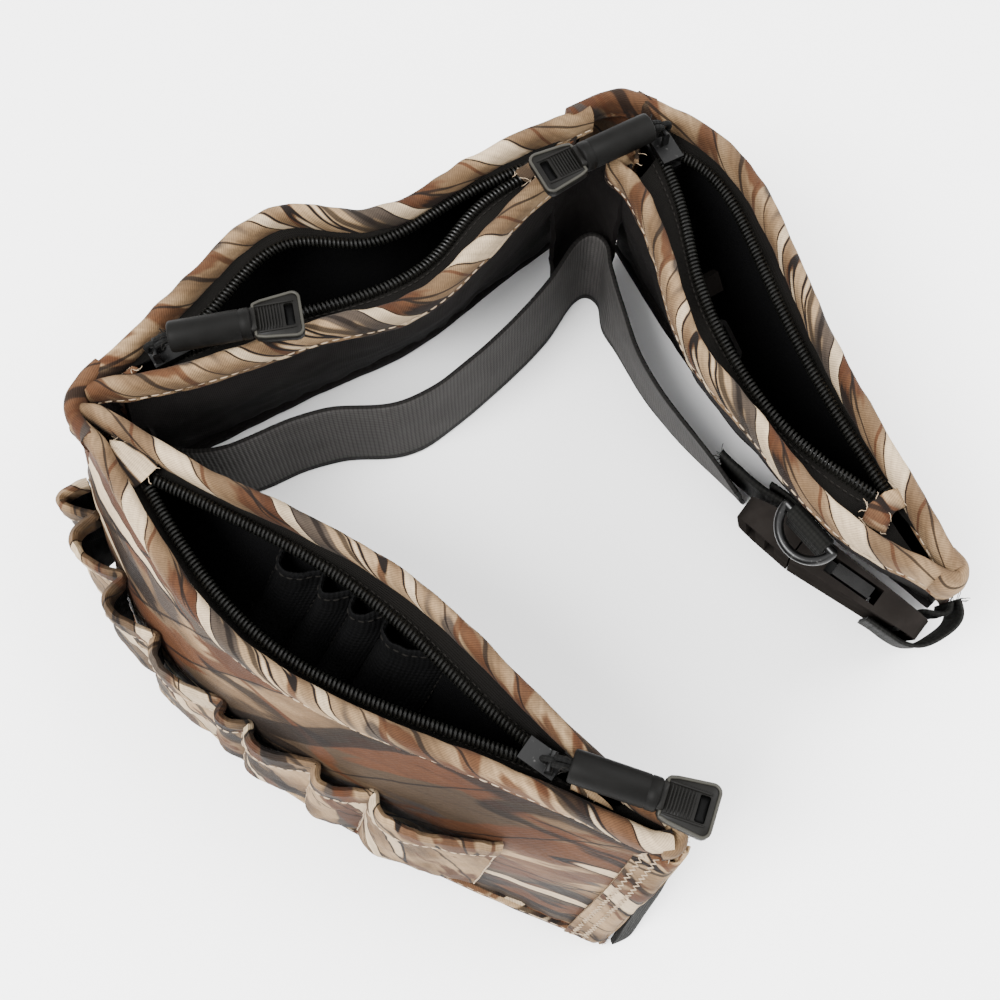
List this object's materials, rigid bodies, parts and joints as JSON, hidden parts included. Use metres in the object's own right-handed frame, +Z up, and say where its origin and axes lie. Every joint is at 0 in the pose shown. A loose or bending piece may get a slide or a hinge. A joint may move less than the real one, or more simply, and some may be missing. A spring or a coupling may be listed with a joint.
{
  "type": "camouflage belt pack",
  "caption": "Folding camouflage belt pack with zipped pockets, shell loops, cartridge loops, a waist strap and a side-release buckle.",
  "frame": {"origin": "on the surface it stands on, under the middle of the whole pack's outline", "axes": "+X along the longest side of the plan, +Y away from the open side of the belt, +Z up, from the bottom seams to the zips"},
  "size_m": [0.3356, 0.2952, 0.1115],
  "materials": {
    "camo_cloth": "printed woven cloth",
    "camo_binding": "printed twill binding",
    "neoprene": "foam-backed knit",
    "zip_tape": "woven tape and nylon coil",
    "slider_metal": "black enamel",
    "grip_tube": "matte",
    "cord": "braided",
    "grip_plate": "moulded",
    "webbing": "ribbed webbing",
    "elastic": "woven elastic",
    "buckle_plastic": "moulded satin",
    "ring_wire": "black over steel",
    "hook_metal": "black over zinc"
  },
  "bodies": {
    "centre": {"outer_panel_2": "camo_cloth", "inner_panel_2": "neoprene", "outer_binding_2": "camo_binding", "inner_binding_2": "camo_binding", "bottom_binding_2": "camo_binding", "zip_outer_2": "zip_tape", "zip_inner_2": "zip_tape", "zip_end_patches_2": "camo_cloth", "end_gusset_2": "camo_cloth", "left_fold_web": "camo_cloth", "right_fold_web": "camo_cloth", "strap_left_bend": "webbing", "strap_middle": "webbing", "strap_apex": "webbing"},
    "left": {"outer_panel_1": "camo_cloth", "inner_panel_1": "neoprene", "outer_binding_1": "camo_binding", "inner_binding_1": "camo_binding", "bottom_binding_1": "camo_binding", "zip_outer_1": "zip_tape", "zip_inner_1": "zip_tape", "zip_end_patches_1": "camo_cloth", "shell_loops": "camo_cloth", "cartridge_loops": "elastic", "end_tape": "camo_cloth", "strap_front": "webbing"},
    "right": {"outer_panel_3": "camo_cloth", "inner_panel_3": "neoprene", "outer_binding_3": "camo_binding", "inner_binding_3": "camo_binding", "bottom_binding_3": "camo_binding", "zip_outer_3": "zip_tape", "zip_inner_3": "zip_tape", "zip_end_patches_3": "camo_cloth", "end_gusset_3": "camo_cloth", "tip_tab": "camo_cloth", "buckle_webbing": "webbing", "buckle_female": "buckle_plastic", "d_ring_tab": "webbing", "key_strap": "webbing", "key_buckle": "buckle_plastic", "strap_rear": "webbing"},
    "male": {"buckle_male": "buckle_plastic", "strap_tail": "webbing"},
    "upper_latch": {"latch_upper": "buckle_plastic"},
    "lower_latch": {"latch_lower": "buckle_plastic"},
    "ring": {"d_ring": "ring_wire"},
    "hook": {"key_hook": "hook_metal"},
    "slider_1": {"slider_1": "slider_metal"},
    "pull_1": {"pull_cord_1": "cord", "pull_tube_1": "grip_tube", "pull_plate_1": "grip_plate"},
    "slider_2": {"slider_2": "slider_metal"},
    "pull_2": {"pull_cord_2": "cord", "pull_tube_2": "grip_tube", "pull_plate_2": "grip_plate"},
    "slider_3": {"slider_3": "slider_metal"},
    "pull_3": {"pull_cord_3": "cord", "pull_tube_3": "grip_tube", "pull_plate_3": "grip_plate"}
  },
  "joints": [
    {"name": "left_fold", "type": "hinge", "parent": "centre", "child": "left", "pos_m": [-0.14971, 0.02275, 0.05], "axis": [0, 0, 1], "range_deg": [-100, 9], "deforming": ["left_fold_web", "strap_left_bend"]},
    {"name": "right_fold", "type": "hinge", "parent": "centre", "child": "right", "pos_m": [0.03529, 0.14175, 0.05], "axis": [0, 0, 1], "range_deg": [-8, 85], "deforming": ["right_fold_web", "strap_apex"]},
    {"name": "zip_slide_1", "type": "slide", "parent": "left", "child": "slider_1", "axis": [-0.8149, 0.5796, 0], "range_m": [0, 0.1361]},
    {"name": "pull_flip_1", "type": "hinge", "parent": "slider_1", "child": "pull_1", "pos_m": [0.01094, -0.09888, 0.1007], "axis": [-0.3256, -0.9455, 0], "range_deg": [0, 115]},
    {"name": "zip_slide_2", "type": "slide", "parent": "centre", "child": "slider_2", "axis": [0.8593, 0.5115, 0], "range_m": [0, 0.0829]},
    {"name": "pull_flip_2", "type": "hinge", "parent": "slider_2", "child": "pull_2", "pos_m": [-0.12152, 0.04086, 0.1007], "axis": [0.1908, -0.9816, 0], "range_deg": [0, 115]},
    {"name": "zip_slide_3", "type": "slide", "parent": "right", "child": "slider_3", "axis": [0.4472, -0.8944, 0], "range_m": [0, 0.1278]},
    {"name": "pull_flip_3", "type": "hinge", "parent": "slider_3", "child": "pull_3", "pos_m": [0.05372, 0.12788, 0.1007], "axis": [-0.4695, 0.8829, 0], "range_deg": [0, 115]},
    {"name": "buckle_release", "type": "slide", "parent": "right", "child": "male", "axis": [-0.788, 0.6157, 0], "range_m": [0, 0.038], "deforming": ["strap_rear", "latch_upper", "latch_lower"]},
    {"name": "press_upper", "type": "hinge", "parent": "male", "child": "upper_latch", "pos_m": [0.10454, -0.013, 0.04686], "axis": [0.5888, 0.7536, 0.2924], "range_deg": [0, 8], "stiffness_Nm_per_rad": 0.25},
    {"name": "press_lower", "type": "hinge", "parent": "male", "child": "lower_latch", "pos_m": [0.11066, -0.00517, 0.01434], "axis": [-0.5888, -0.7536, -0.2924], "range_deg": [0, 8], "stiffness_Nm_per_rad": 0.25},
    {"name": "d_ring_tilt", "type": "hinge", "parent": "right", "child": "ring", "pos_m": [0.10019, -0.01675, 0.08], "axis": [-0.6225, 0.7826, 0], "range_deg": [-20, 60]},
    {"name": "key_swivel", "type": "hinge", "parent": "right", "child": "hook", "pos_m": [0.07529, 0.08075, 0.051], "axis": [0.4755, -0.5151, -0.7132], "range_deg": [-90, 90]}
  ],
  "couplings": [
    {"joint": "press_lower", "follows": "press_upper", "ratio": 1}
  ]
}
